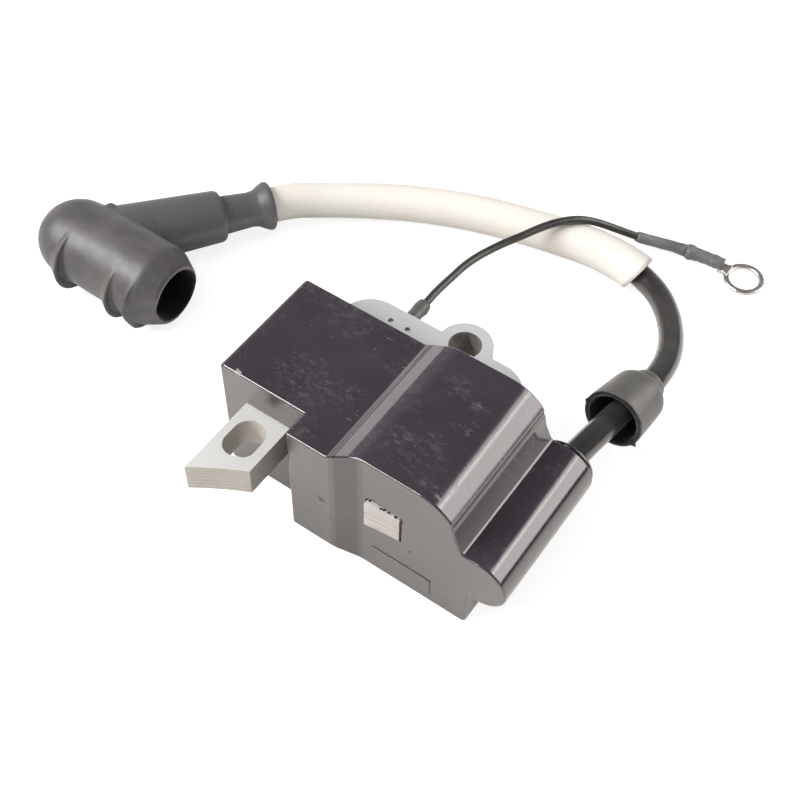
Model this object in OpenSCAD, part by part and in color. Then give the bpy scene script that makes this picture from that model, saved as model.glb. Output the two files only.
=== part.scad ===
// Small-engine ignition coil: a potted case on a laminated U core, with its
// high-tension lead, plug boot and earth wire. +X runs along the case, +Y points
// to the core's yoke, +Z is up. The origin is the bottom centre of the coil
// itself, without its cords, and Z = 0 is the surface it lies on.

/* [Case] */
// Height of the flat top over the electronics
low_top = 28; // [26.5:0.5:29]
// Height of the raised top over the windings
high_top = 31.5; // [31:0.5:34]
// Depth of the windings' part, front face to back face
coil_depth = 28.8; // [28:0.2:32]
// Thickness of the case's walls
wall = 1.6; // [1:0.1:1.8]

/* [Core] */
// Number of laminations in the stack
lamination_count = 13; // [10:1:13]
// Thickness of one lamination
lamination_t = 0.5; // [0.35:0.05:0.5]
// Radius of the flywheel that the pole faces follow
flywheel_r = 69; // [67:1:71]
// Diameter of the round mounting hole
lug_hole_d = 6.2; // [5.2:0.1:6.6]
// Width of the adjusting slot
slot_w = 6.2; // [5.4:0.1:6.6]

/* [High-tension lead] */
// Diameter of the lead
lead_d = 5; // [4.6:0.1:5.2]
// Diameter of the heat sleeve on the lead
sleeve_d = 8; // [7:0.1:8]
// Travel of the seal cup, from where it lies to the tower
cup_travel = 13.8; // [12:0.2:14.6]

/* [Plug boot] */
// Diameter of the barrel
barrel_d = 17.2; // [16:0.2:18.4]
// Diameter of the plug bore
plug_bore_d = 11; // [10:0.2:12]
// Depth of the plug bore
plug_bore_depth = 14; // [10:1:15]

/* [Earth wire] */
// Diameter of the wire
wire_d = 1.7; // [1.4:0.1:2]
// Diameter of the ring terminal's hole
ring_hole_d = 6.4; // [5.3:0.1:6.6]

/* [Hidden] */
$fn = 64;

// Case, seen from above
case_left = -31.3;
step_x = -12.8;
jog_start = -3;
jog_end = 1.4;
case_back = 13.5;
case_front = case_back - coil_depth;
proud_front = case_front - 1;
low_front = case_back - 24.6;
// Case, seen from the front
slope_start = -4.4;
high_start = 0.4;
shoulder_r = 6;
shoulder_x = 14.3;
valley = [22.2, 21.3];
case_right = 24.3;
tower = [25.5, 15.4];
tower_r = 5.8;
edge_r = 1;
seal_t = 3;
seal_recess = 0.3;
// Raised details of the front, as X and Z: an ejector mark, a pip and a plain panel
front_mark = [-6, 13.5];
front_mark_r = 1.1;
front_pip = [12.2, 12.3];
panel_at = [4.4, 2.2];
panel_size = [12.4, 4.6];
detail_h = 0.3;

// Core
core_t = lamination_count * lamination_t;
core_top = 20.6;
core_mid = core_top - core_t / 2;
long_leg = [-26, -16.3];
coil_leg = [3.3, 10.1];
yoke_back = 22.9;
yoke_ends = [-25.2, 13.5];
yoke_corner_r = 6.5;
lug = [-1.75, 22.7];
lug_r = 5.3;
slot = [-21.3, -16.4];
flywheel = [13.7, -15.4 - flywheel_r];
core_gap = 0.2;
// Interlock dimples in the yoke's top
dimple_places = [[-16.3, 19.6], [-12.5, 19.6]];

// Windings on the coil leg: width (X) and height (Z) of each layer
coil_x = (coil_leg[0] + coil_leg[1]) / 2;
primary_bore = [7.2, 6.9];
primary_tube = [9, 8.7];
primary_flange = [13.4, 13.1];
primary_outer = [12.8, 12.5];
secondary_bore = [13.6, 13.3];
secondary_tube = [15.2, 14.9];
secondary_flange = [22, 21.6];
secondary_outer = [21, 20.6];
secondary_sections = 6;
secondary_corners = [5, 4.5];
coil_span = [-13.2, 11.4];
// Charge coil on the long leg
charge_x = (long_leg[0] + long_leg[1]) / 2;
charge_bore = [10.1, 6.9];
charge_tube = [11.7, 8.5];
charge_flange = [15.6, 12.2];
charge_outer = [15, 11.6];
charge_span = [-9, 11.4];
flange_t = 0.9;
layer_gap = 0.1;

// Control board
board_at = [-28.5, -8.8, 5];
board_size = [23, 20, 1.2];
board_top = board_at[2] + board_size[2];
capacitor_at = [-12.3, -6];
capacitor_size = [6.5, 12, 10];
switch_at = [-24.5, 6.5];
switch_r = 2.4;
switch_h = 4.6;
diode_places = [[-26, -2], [-21.5, -2]];
resistor_places = [[-17.5, -2], [-14.5, -2]];
link_pin_at = [-7, 9.5];
pin_r = 0.5;
pin_h = 4.6;

// Tower, lead and seal cup
tower_bore_r = 2.8;
tower_bore_end = -12.5;
lead_r = lead_d / 2;
contact_y = -10;
lead_line = [0.09, 1, -0.16];
lead_start = [tower[0], 14, tower[1]];
cup_seat = 1.65;
cup_mouth = lead_start + lead_line * (cup_travel + cup_seat) / norm(lead_line);
cup_r = 6;
cup_bore_r = 4.9;
cup_length = 13;

// Plug boot: the barrel lies along X and the arm meets it at the elbow
elbow = [-84, 8, 9.6];
arm_mouth = [-63, 40.6, 6.6];
arm_length = norm(arm_mouth - elbow);
barrel_mouth = -61;
barrel_end = -86;
fin_t = 2;
fin_r = 7.8;
fin_offset = [-1.9, -1.4];
fin_places = [-84.8, -72.4, -67.8];
clip_bore_r = 4;
arm_bore_r = lead_r + 0.3;

// Route of the lead, tower to boot
lead_route = [
    [25.5, -4, 15.4], [25.5, 8, 15.4], [25.6, 14, 15.3], [26, 20, 14.4], [26.9, 30, 12.8],
    [27.8, 40, 11.2], [28.2, 44, 10.6], [27.8, 49.5, 9.4], [26.4, 54.8, 8.1], [24, 60, 6.8],
    [20.5, 65, 5.8], [16, 69.2, 4.9], [10.5, 72, 4.3], [5, 73.2, 4], [-1.5, 73.2, 4],
    [-8, 72.1, 4], [-16, 70.3, 4], [-24, 68.2, 4], [-32, 65.2, 4], [-40, 61.4, 4],
    [-47.5, 56.7, 4.2], [-54.5, 51.2, 4.8], [-60, 45.5, 5.9], [-63, 40.6, 6.6],
    [-68.4, 32.2, 7.4], [-72.7, 25.5, 8]
];
sleeve_first = 12;
sleeve_last = 22;
sleeve_end = [-62.2, 41.9, 6.5];

// Route of the earth wire, case to ring terminal
wire_route = [
    [-18.3, 10, 10], [-18.3, 22, 10], [-18.3, 34.5, 10], [-18.4, 39, 9.8], [-18.3, 44, 9.3],
    [-18, 48.5, 9.1], [-17.2, 52.5, 9], [-16, 56, 9], [-14.6, 59.2, 9.1], [-12.8, 62.6, 9.3],
    [-11, 66.3, 9.5], [-8.8, 70.1, 9.5], [-6, 73.8, 9], [-3, 76.8, 7.6], [0.8, 79.4, 5.7],
    [5, 81.6, 4.1], [8.3, 83.4, 3.1], [11.5, 84.9, 2.5], [15, 86, 2.1], [19, 86.9, 1.8],
    [23.4, 87.4, 1.7]
];
wire_exit_end = 34.5;
shrink_first = 15;
shrink_joint = 18;
ring_at = [28.5, 87.4];
ring_r = 4.3;
ring_t = 0.8;
neck_at = [23.5, 86.2];
neck_size = [1.6, 2.4, 1.7];

// ---------------------------------------------------------------- helpers

// Direction of the route at point i
function heading(route, i) =
    let (a = route[max(i - 1, 0)], b = route[min(i + 1, len(route) - 1)]) (b - a) / norm(b - a);

// Ring of points round route point i, which starts square to the reference direction
function ring(route, i, r, sides, reference = [0, 0, 1]) =
    let (
        t = heading(route, i),
        side = cross(t, reference) / norm(cross(t, reference)),
        up = cross(side, t)
    )
    [for (k = [0:sides - 1]) route[i] + r * (cos(360 * k / sides) * side + sin(360 * k / sides) * up)];

// Faces between two neighbouring rings that start at points a and b
function band(a, b, sides) = [
    for (k = [0:sides - 1]) let (n = (k + 1) % sides)
        each [[a + k, b + n, b + k], [a + k, a + n, b + n]]
];

// Round cord along a route
module cord(route, r, sides, reference = [0, 0, 1]) {
    rings = len(route);
    points = [for (i = [0:rings - 1]) each ring(route, i, r, sides, reference)];
    faces = [
        [for (k = [sides - 1:-1:0]) k],
        for (i = [0:rings - 2]) each band(i * sides, (i + 1) * sides, sides),
        [for (k = [0:sides - 1]) (rings - 1) * sides + k]
    ];
    polyhedron(points, faces);
}

// Hollow sleeve along a route, from its point first to its point last
module sleeve(route, first, last, r_out, r_in, sides) {
    rings = last - first + 1;
    outer = [for (i = [first:last]) each ring(route, i, r_out, sides)];
    inner = [for (i = [first:last]) each ring(route, i, r_in, sides)];
    shift = rings * sides;
    far_ring = (rings - 1) * sides;
    faces = [
        for (i = [0:rings - 2]) each band(i * sides, (i + 1) * sides, sides),
        for (i = [0:rings - 2]) each band(shift + (i + 1) * sides, shift + i * sides, sides),
        each band(shift, 0, sides),
        each band(far_ring, shift + far_ring, sides)
    ];
    polyhedron(concat(outer, inner), faces);
}

// Cylinder that runs along +Y from the point at
module y_cylinder(at, r, h) {
    translate(at) rotate([-90, 0, 0]) cylinder(r = r, h = h);
}

// Cylinder that runs along +X from the point at
module x_cylinder(at, r, h) {
    translate(at) rotate([0, 90, 0]) cylinder(r = r, h = h);
}

// Turns +Z to the given direction
module along(direction) {
    flat = norm([direction[0], direction[1]]);
    rotate([0, atan2(flat, direction[2]), atan2(direction[1], direction[0])]) children();
}

// Rectangle with round corners, centred
module round_rect(size, r) {
    square([size[0] - 2 * r, size[1]], center = true);
    square([size[0], size[1] - 2 * r], center = true);
    for (sx = [-1, 1], sy = [-1, 1])
        translate([sx * (size[0] / 2 - r), sy * (size[1] / 2 - r)]) circle(r);
}

// Ring of rectangular section round a core leg, from y0 to y1
module leg_ring(x, outer, inner, y0, y1, r) {
    translate([x, y1, core_mid]) rotate([90, 0, 0]) linear_extrude(y1 - y0) difference() {
        round_rect(outer, r);
        square(inner, center = true);
    }
}

// Bobbin on a core leg with evenly spaced flanges
module bobbin(x, span, bore, tube, flange, sections, corner) {
    pitch = (span[1] - span[0] - flange_t) / sections;
    leg_ring(x, tube, bore, span[0], span[1], 0.6);
    for (i = [0:sections])
        leg_ring(x, flange, bore, span[0] + i * pitch, span[0] + i * pitch + flange_t, corner);
}

// Winding that fills each section of a bobbin
module winding(x, span, tube, outer, sections, corner) {
    pitch = (span[1] - span[0] - flange_t) / sections;
    inner = tube + [layer_gap, layer_gap];
    for (i = [0:sections - 1])
        leg_ring(x, outer, inner, span[0] + i * pitch + flange_t + layer_gap,
            span[0] + (i + 1) * pitch - layer_gap, corner);
}

// Part with a lead at each end, lying on the board along Y
module axial_part(at, r, length, pitch) {
    lead = 0.35;
    translate([at[0], at[1], board_top + r + 0.2]) {
        y_cylinder([0, -length / 2, 0], r, length);
        y_cylinder([0, -pitch / 2, 0], lead, pitch);
        for (s = [-1, 1]) translate([0, s * pitch / 2, -r - 0.2]) cylinder(r = lead, h = r + 0.2 + lead);
    }
}

// ---------------------------------------------------------------- case

// Plan of the case, its walls moved in by d
module case_plan(d) {
    polygon([
        [case_left + d, low_front + d], [step_x + d, low_front + d], [step_x + d, proud_front + d],
        [jog_start, proud_front + d], [jog_end, case_front + d],
        [40, case_front + d], [40, case_back - d], [case_left + d, case_back - d]
    ]);
}

// Front outline of the case without the tower
module case_outline() {
    polygon([
        [case_left, 0], [case_right - 1, 0], [case_right, 1], [case_right, tower[1]],
        valley, [shoulder_x + shoulder_r, high_top - shoulder_r], [shoulder_x, high_top - shoulder_r],
        [shoulder_x, high_top], [high_start, high_top], [high_start - 1.6, high_top - 0.8],
        [slope_start + 1.2, low_top + 1], [slope_start, low_top],
        [case_left + edge_r, low_top], [case_left, low_top - edge_r]
    ]);
    translate([shoulder_x, high_top - shoulder_r]) circle(shoulder_r);
    translate([case_left + edge_r, low_top - edge_r]) circle(edge_r);
}

// Front outline of the tower, with the flat that joins it to the case
module tower_outline() {
    translate(tower) circle(tower_r);
    translate([valley[0] - 1, tower[1]]) square([tower[0] - valley[0] + 1, valley[1] - tower[1] - 0.1]);
}

// Front outline of the space inside
module cavity_outline() {
    inner_r = shoulder_r - wall;
    polygon([
        [case_left + wall, -1], [case_right - wall, -1], [case_right - wall, 7.4],
        [shoulder_x + inner_r, 9.4], [shoulder_x + inner_r, high_top - shoulder_r],
        [shoulder_x, high_top - shoulder_r], [shoulder_x, high_top - wall],
        [high_start + wall / 2, high_top - wall], [slope_start + wall / 2, low_top - wall],
        [case_left + wall, low_top - wall]
    ]);
    translate([shoulder_x, high_top - shoulder_r]) circle(inner_r);
}

module through_case(depth = 200) {
    translate([0, depth / 2, 0]) rotate([90, 0, 0]) linear_extrude(depth) children();
}

// Opening in the case's walls round a core leg
module leg_opening(leg, y0, y1, above) {
    translate([leg[0] - core_gap, y0, core_top - core_t - core_gap])
        cube([leg[1] - leg[0] + 2 * core_gap, y1 - y0, core_t + core_gap + above]);
}

module case_body() {
    intersection() {
        linear_extrude(60) case_plan(0);
        through_case() {
            case_outline();
            tower_outline();
        }
    }
    y_cylinder([front_mark[0], proud_front - detail_h, front_mark[1]], front_mark_r, 1);
    y_cylinder([front_pip[0], case_front - detail_h, front_pip[1]], 0.4, 1);
    translate([panel_at[0], case_front - detail_h, panel_at[1]]) cube([panel_size[0], 1, panel_size[1]]);
}

module cavity() {
    intersection() {
        translate([0, 0, -1]) linear_extrude(60) case_plan(wall);
        through_case() cavity_outline();
    }
}

module case_shell() {
    color("#4a464a") difference() {
        case_body();
        cavity();
        leg_opening(long_leg, low_front - 5, case_back + 5, 0.3);
        leg_opening(coil_leg, proud_front - 5, case_back + 5, 0.5);
        // Tower bore, its mouth for the grommet, and the way for the link wire
        y_cylinder([tower[0], tower_bore_end, tower[1]], tower_bore_r, 40);
        y_cylinder([tower[0], case_back - 4, tower[1]], 3.9, 10);
        x_cylinder([15, contact_y, tower[1]], 0.7, 10);
        // Way out for the earth wire
        y_cylinder([wire_route[0][0], case_back - wall - 2, wire_route[0][2]], 1.55, 10);
        // Groove along the parting line of the slope
        translate([slope_start + 0.75, -60, low_top + 0.35]) cube([0.35, 120, 0.6]);
    }
}

module potting_seal() {
    color("#3a2f2a") intersection() {
        translate([0, 0, seal_recess]) linear_extrude(seal_t) case_plan(wall);
        through_case() cavity_outline();
    }
}

// ---------------------------------------------------------------- core

// Yoke behind the case, its two rear corners round
module yoke_outline() {
    front = case_back + core_gap;
    size = [yoke_ends[1] - yoke_ends[0], yoke_back - front];
    intersection() {
        translate([yoke_ends[0], front]) square(size);
        translate([yoke_ends[0] + size[0] / 2, front]) round_rect([size[0], 2 * size[1]], yoke_corner_r);
    }
}

module core_outline() {
    difference() {
        union() {
            translate([long_leg[0], -40]) square([long_leg[1] - long_leg[0], 58]);
            translate([coil_leg[0], -40]) square([coil_leg[1] - coil_leg[0], 58]);
            yoke_outline();
            translate(lug) circle(lug_r);
        }
        translate(flywheel) circle(flywheel_r, $fn = 256);
        translate(lug) circle(d = lug_hole_d);
        slot_outline();
    }
}

// Adjusting slot: a round front end and a worn, two-lobed rear end
module slot_outline() {
    r = slot_w / 2;
    translate(slot) circle(r);
    translate(slot + [-r, -2.45]) square([slot_w, 2.45]);
    translate(slot + [-r + 2.65, -2.45]) circle(2.65);
    translate(slot + [r - 2.05, -2.45]) circle(2.05);
}

module core_laminations() {
    color("#b9b9bb") translate([0, 0, core_top - core_t]) difference() {
        linear_extrude(core_t) core_outline();
        for (at = dimple_places) translate([at[0], at[1], core_t - 0.4]) cylinder(r = 0.5, h = 1);
    }
}

// ---------------------------------------------------------------- windings

module primary_bobbin() {
    color("#d9d4c6") bobbin(coil_x, coil_span, primary_bore, primary_tube, primary_flange, 1, 1);
}

module primary_winding() {
    color("#a85f2c") winding(coil_x, coil_span, primary_tube, primary_outer, 1, 1);
}

module secondary_bobbin() {
    color("#cfc9b8") bobbin(coil_x, coil_span, secondary_bore, secondary_tube, secondary_flange,
        secondary_sections, secondary_corners[0]);
}

module secondary_winding() {
    color("#8c4a24") winding(coil_x, coil_span, secondary_tube, secondary_outer,
        secondary_sections, secondary_corners[1]);
}

module charge_bobbin() {
    color("#d9d4c6") bobbin(charge_x, charge_span, charge_bore, charge_tube, charge_flange, 1, 1);
}

module charge_winding() {
    color("#a85f2c") winding(charge_x, charge_span, charge_tube, charge_outer, 1, 1);
}

// ---------------------------------------------------------------- electronics

module control_board() {
    color("#3f6b45") translate(board_at) cube(board_size);
}

module storage_capacitor() {
    color("#8f3b2c") translate([capacitor_at[0], capacitor_at[1], board_top]) cube(capacitor_size);
}

module scr_switch() {
    color("#26262a") translate([switch_at[0], switch_at[1], board_top]) difference() {
        cylinder(r = switch_r, h = switch_h);
        translate([-switch_r, 0.6 * switch_r, -1]) cube([2 * switch_r, switch_r, switch_h + 2]);
    }
}

module diodes() {
    color("#2e2e31") for (at = diode_places) axial_part(at, 1.35, 5, 8);
}

module resistors() {
    color("#c9a66b") for (at = resistor_places) axial_part(at, 1.1, 6, 9);
}

module board_pins() {
    wire_pin_at = [wire_route[0][0], wire_route[0][1] - pin_r];
    color("#c8c8c8") for (at = [wire_pin_at, link_pin_at])
        translate([at[0], at[1], board_top]) cylinder(r = pin_r, h = pin_h);
}

// ---------------------------------------------------------------- tower and lead

module ht_link_wire() {
    start = coil_x + secondary_flange[0] / 2 + 0.1;
    color("#b87333") x_cylinder([start, contact_y, tower[1]], 0.5, tower[0] - 2.2 - start);
}

module ht_contact_pin() {
    color("#c9b26a") {
        y_cylinder([tower[0], contact_y - 1.5, tower[1]], 2.2, 3);
        y_cylinder([tower[0], contact_y, tower[1]], 0.6, lead_route[0][1] - contact_y);
    }
}

module lead_grommet() {
    color("#2b292b") difference() {
        union() {
            y_cylinder([tower[0], case_back - 3.9, tower[1]], 3.85, 4);
            y_cylinder([tower[0], case_back, tower[1]], 4.1, 0.9);
            translate([tower[0], case_back + 0.8, tower[1]]) rotate([-90, 0, 0])
                cylinder(r1 = 3.7, r2 = 3.2, h = 2.5);
        }
        y_cylinder([tower[0], case_back - 10, tower[1]], lead_r + 0.1, 20);
    }
}

module ht_lead() {
    color("#242224") cord(lead_route, lead_r, 12);
}

module lead_conductor() {
    tip = lead_route[len(lead_route) - 1];
    direction = heading(lead_route, len(lead_route) - 1);
    color("#b87333") translate(tip) along(direction) cylinder(r = 0.8, h = 3);
}

module seal_cup() {
    color("#55504d") translate(cup_mouth) along(lead_line) difference() {
        rotate_extrude() polygon([
            [0, 0], [cup_r, 0], [cup_r, 0.8], [cup_r - 0.9, 9], [cup_r - 1.8, 10.4],
            [cup_r - 2.4, 10.8], [cup_r - 2.6, cup_length], [0, cup_length]
        ]);
        translate([0, 0, -1]) cylinder(r = cup_bore_r, h = 8);
        translate([0, 0, 6.9]) cylinder(r1 = cup_bore_r, r2 = lead_r + 0.3, h = 2);
        translate([0, 0, -1]) cylinder(r = lead_r + 0.3, h = cup_length + 2);
    }
}

module heat_sleeve() {
    route = [for (i = [0:sleeve_last]) lead_route[i], sleeve_end];
    color("#f4ece2") sleeve(route, sleeve_first, sleeve_last + 1, sleeve_d / 2, lead_r + 0.4, 12);
}

// ---------------------------------------------------------------- plug boot

// Arm of the boot as a solid of revolution, from the elbow outwards
module arm_outer() {
    rotate_extrude() polygon([
        [0, 0], [6.6, 0], [6.4, 6], [5.35, 28], [5.1, 28.6], [3.9, 29], [3.6, 36.6],
        [4.6, 37.8], [4.95, 39], [4.6, arm_length + 0.5], [0, arm_length + 0.5]
    ]);
}

module fins() {
    for (x = fin_places)
        x_cylinder([x, elbow[1] + fin_offset[0], elbow[2] + fin_offset[1]], fin_r, fin_t);
}

module plug_boot() {
    barrel_r = barrel_d / 2;
    color("#4d494a") difference() {
        union() {
            translate([barrel_end, elbow[1], elbow[2]]) sphere(barrel_r);
            x_cylinder([barrel_end, elbow[1], elbow[2]], barrel_r, barrel_mouth - 1.6 - barrel_end);
            translate([barrel_mouth - 1.6, elbow[1], elbow[2]]) rotate([0, 90, 0])
                cylinder(r1 = barrel_r, r2 = barrel_r - 1.1, h = 1.6);
            translate(elbow) along(arm_mouth - elbow) arm_outer();
            fins();
        }
        x_cylinder([barrel_mouth - plug_bore_depth, elbow[1], elbow[2]], plug_bore_d / 2, 30);
        x_cylinder([elbow[0] - 2, elbow[1], elbow[2]], clip_bore_r, 20);
        translate(elbow) along(arm_mouth - elbow) cylinder(r = arm_bore_r, h = 50);
    }
}

// Clip at the elbow that joins the conductor to the spring
module plug_contact() {
    color("#c9c4b8") translate([elbow[0] - 1.9, elbow[1], elbow[2]]) rotate([0, 90, 0]) {
        cylinder(r = 2.9, h = 1);
        cylinder(r = 1.2, h = 4);
    }
}

// Spring that grips the plug's tip, closed turns along the bore
module plug_spring() {
    turns = 5;
    steps = 12;
    start = elbow[0] - 0.4;
    pitch = 1.6;
    route = [for (i = [0:turns * steps]) let (a = 360 * i / steps) [
        start + pitch * i / steps, elbow[1] + 2.2 * cos(a), elbow[2] + 2.2 * sin(a)
    ]];
    color("#bdbdbd") cord(route, 0.4, 6, [1, 0, 0]);
}

// ---------------------------------------------------------------- earth wire

module wire_exit_sleeve() {
    start = case_back - wall;
    at = [wire_route[0][0], start, wire_route[0][2]];
    color("#5a5a55") difference() {
        y_cylinder(at, 1.5, wire_exit_end - start);
        y_cylinder(at - [0, 1, 0], wire_d / 2 + 0.1, 40);
    }
}

module earth_wire() {
    color("#24221f") cord(wire_route, wire_d / 2, 8);
}

module wire_shrink_sleeve() {
    color("#6f6c6e") sleeve(wire_route, shrink_first, shrink_joint, 1.25, wire_d / 2 + 0.1, 8);
}

module terminal_shrink_sleeve() {
    color("#6f6c6e") sleeve(wire_route, shrink_joint, len(wire_route) - 1, 1.65,
        wire_d / 2 + 0.1, 8);
}

module ring_terminal() {
    color("#b5b3ae") difference() {
        union() {
            translate([ring_at[0], ring_at[1], 0]) cylinder(r = ring_r, h = ring_t);
            translate(neck_at) cube(neck_size);
        }
        translate([ring_at[0], ring_at[1], -1]) cylinder(d = ring_hole_d, h = 4);
    }
}

case_shell();
potting_seal();
core_laminations();
primary_bobbin();
primary_winding();
secondary_bobbin();
secondary_winding();
charge_bobbin();
charge_winding();
control_board();
storage_capacitor();
scr_switch();
diodes();
resistors();
board_pins();
ht_link_wire();
ht_contact_pin();
lead_grommet();
ht_lead();
lead_conductor();
seal_cup();
heat_sleeve();
plug_boot();
plug_contact();
plug_spring();
wire_exit_sleeve();
earth_wire();
wire_shrink_sleeve();
terminal_shrink_sleeve();
ring_terminal();
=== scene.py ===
"""Looks of the small-engine ignition coil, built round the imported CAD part. Metres, +Z up."""
import math

import bmesh
import bpy
import numpy as np
from mathutils import Matrix, Vector


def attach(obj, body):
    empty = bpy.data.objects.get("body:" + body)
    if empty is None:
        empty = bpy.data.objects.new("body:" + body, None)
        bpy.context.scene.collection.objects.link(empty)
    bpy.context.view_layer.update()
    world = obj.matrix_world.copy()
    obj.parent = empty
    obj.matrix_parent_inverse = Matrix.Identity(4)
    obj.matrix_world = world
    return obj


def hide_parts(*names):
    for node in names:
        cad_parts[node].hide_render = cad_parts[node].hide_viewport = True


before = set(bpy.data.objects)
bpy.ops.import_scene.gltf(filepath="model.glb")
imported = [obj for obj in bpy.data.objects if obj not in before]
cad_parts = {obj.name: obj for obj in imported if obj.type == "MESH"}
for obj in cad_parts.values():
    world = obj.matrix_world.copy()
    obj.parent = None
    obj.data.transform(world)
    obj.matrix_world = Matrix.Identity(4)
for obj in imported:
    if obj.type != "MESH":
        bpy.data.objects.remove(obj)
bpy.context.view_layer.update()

MM = 0.001
collection = bpy.context.scene.collection


# ------------------------------------------------------------------ mesh helpers
def new_object(name, verts_mm, faces, smooth=True):
    """A mesh object from points in millimetres."""
    mesh = bpy.data.meshes.new(name)
    mesh.from_pydata((np.asarray(verts_mm, float) * MM).tolist(), [], faces)
    mesh.update()
    mesh.shade_smooth() if smooth else mesh.shade_flat()
    obj = bpy.data.objects.new(name, mesh)
    collection.objects.link(obj)
    return obj


def baked(obj):
    """Applies every modifier of obj."""
    graph = bpy.context.evaluated_depsgraph_get()
    source = obj.evaluated_get(graph)
    mesh = bpy.data.meshes.new_from_object(source, preserve_all_data_layers=True, depsgraph=graph)
    old = obj.data
    obj.modifiers.clear()
    obj.data = mesh
    bpy.data.meshes.remove(old)
    mesh.name = obj.name
    return obj


def boolean(obj, other, operation):
    """obj joined with, cut by or cut to other, which is used up."""
    bpy.context.view_layer.update()
    mod = obj.modifiers.new("bool", "BOOLEAN")
    mod.object, mod.operation, mod.solver = other, operation, "EXACT"
    baked(obj)
    bpy.data.objects.remove(other)
    return obj


def bevelled(obj, width_mm, segments=3, clamp=True):
    """Rounds the edges that turn by more than 30 degrees."""
    mod = obj.modifiers.new("bevel", "BEVEL")
    mod.use_clamp_overlap = clamp
    mod.width, mod.segments, mod.limit_method = width_mm * MM, segments, "ANGLE"
    mod.angle_limit = math.radians(30)
    return baked(obj)


def weighted(obj, sharp=50):
    """Flat faces stay flat between smooth bevels."""
    obj.data.shade_smooth()
    obj.data.set_sharp_from_angle(angle=math.radians(sharp))
    mod = obj.modifiers.new("normals", "WEIGHTED_NORMAL")
    mod.keep_sharp, mod.weight = True, 80
    return baked(obj)


def prism(name, outline, low, high, axis):
    """Closed outline extruded along an axis: "Y" takes (x, z) points and "Z" takes (x, y) points."""
    n = len(outline)
    place = {"Y": lambda a, b, c: (a, c, b), "Z": lambda a, b, c: (a, b, c)}[axis]
    verts = [place(a, b, low) for a, b in outline] + [place(a, b, high) for a, b in outline]
    faces = [tuple(range(n)), tuple(range(n, 2 * n))]
    faces += [(i, (i + 1) % n, n + (i + 1) % n, n + i) for i in range(n)]
    obj = new_object(name, verts, faces, smooth=False)
    fix_normals(obj)
    return obj


def fix_normals(obj):
    """Turns every face outwards."""
    bm = bmesh.new()
    bm.from_mesh(obj.data)
    bmesh.ops.recalc_face_normals(bm, faces=bm.faces)
    bm.to_mesh(obj.data)
    bm.free()


def box(name, low, high):
    (x0, y0, z0), (x1, y1, z1) = low, high
    return prism(name, [(x0, y0), (x1, y0), (x1, y1), (x0, y1)], z0, z1, "Z")


def arc(centre, r, start, end, steps):
    """Points of an arc, in degrees, both ends included."""
    angles = np.radians(np.linspace(start, end, steps + 1))
    return [(centre[0] + r * math.cos(t), centre[1] + r * math.sin(t)) for t in angles]


def frame_along(direction):
    """Matrix whose columns are two sides and the direction."""
    z = np.array(direction, float) / np.linalg.norm(direction)
    x = np.cross([0, 0, 1] if abs(z[2]) < 0.9 else [0, 1, 0], z)
    x /= np.linalg.norm(x)
    return np.stack([x, np.cross(z, x), z], 1)


def lathe(name, profile, origin, direction, segments=72, closed=False):
    """Turned piece: profile of (radius, height) points round direction. A closed profile is a ring."""
    turn = frame_along(direction)
    rings = len(profile)
    angles = 2 * math.pi * np.arange(segments) / segments
    verts = []
    for r, h in profile:
        local = np.stack([r * np.cos(angles), r * np.sin(angles), np.full(segments, h)], 1)
        verts.append(local @ turn.T + np.array(origin, float))
    verts = np.concatenate(verts)
    faces = []
    for i in range(rings if closed else rings - 1):
        a, b = i * segments, ((i + 1) % rings) * segments
        faces += [(a + k, a + (k + 1) % segments, b + (k + 1) % segments, b + k) for k in range(segments)]
    if not closed:
        faces += [tuple(range(segments))[::-1], tuple((rings - 1) * segments + k for k in range(segments))]
    obj = new_object(name, verts, faces)
    bm = bmesh.new()
    bm.from_mesh(obj.data)
    bmesh.ops.remove_doubles(bm, verts=bm.verts, dist=1e-7)
    bmesh.ops.recalc_face_normals(bm, faces=bm.faces)
    bm.to_mesh(obj.data)
    bm.free()
    return obj


SPAN_STEPS = 6


def smooth_route(points, per_span=SPAN_STEPS):
    """Curve through the points: a Catmull-Rom spline with per_span steps from each point to the next."""
    p = np.array(points, float)
    p = np.concatenate([[2 * p[0] - p[1]], p, [2 * p[-1] - p[-2]]])
    out = []
    for i in range(1, len(p) - 2):
        a, b, c, d = p[i - 1 : i + 3]
        square, cube = 2 * a - 5 * b + 4 * c - d, 3 * b - a - 3 * c + d
        for t in np.arange(per_span) / per_span:
            out.append(0.5 * (2 * b + (c - a) * t + square * t**2 + cube * t**3))
    out.append(p[-2])
    return np.array(out)


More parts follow.
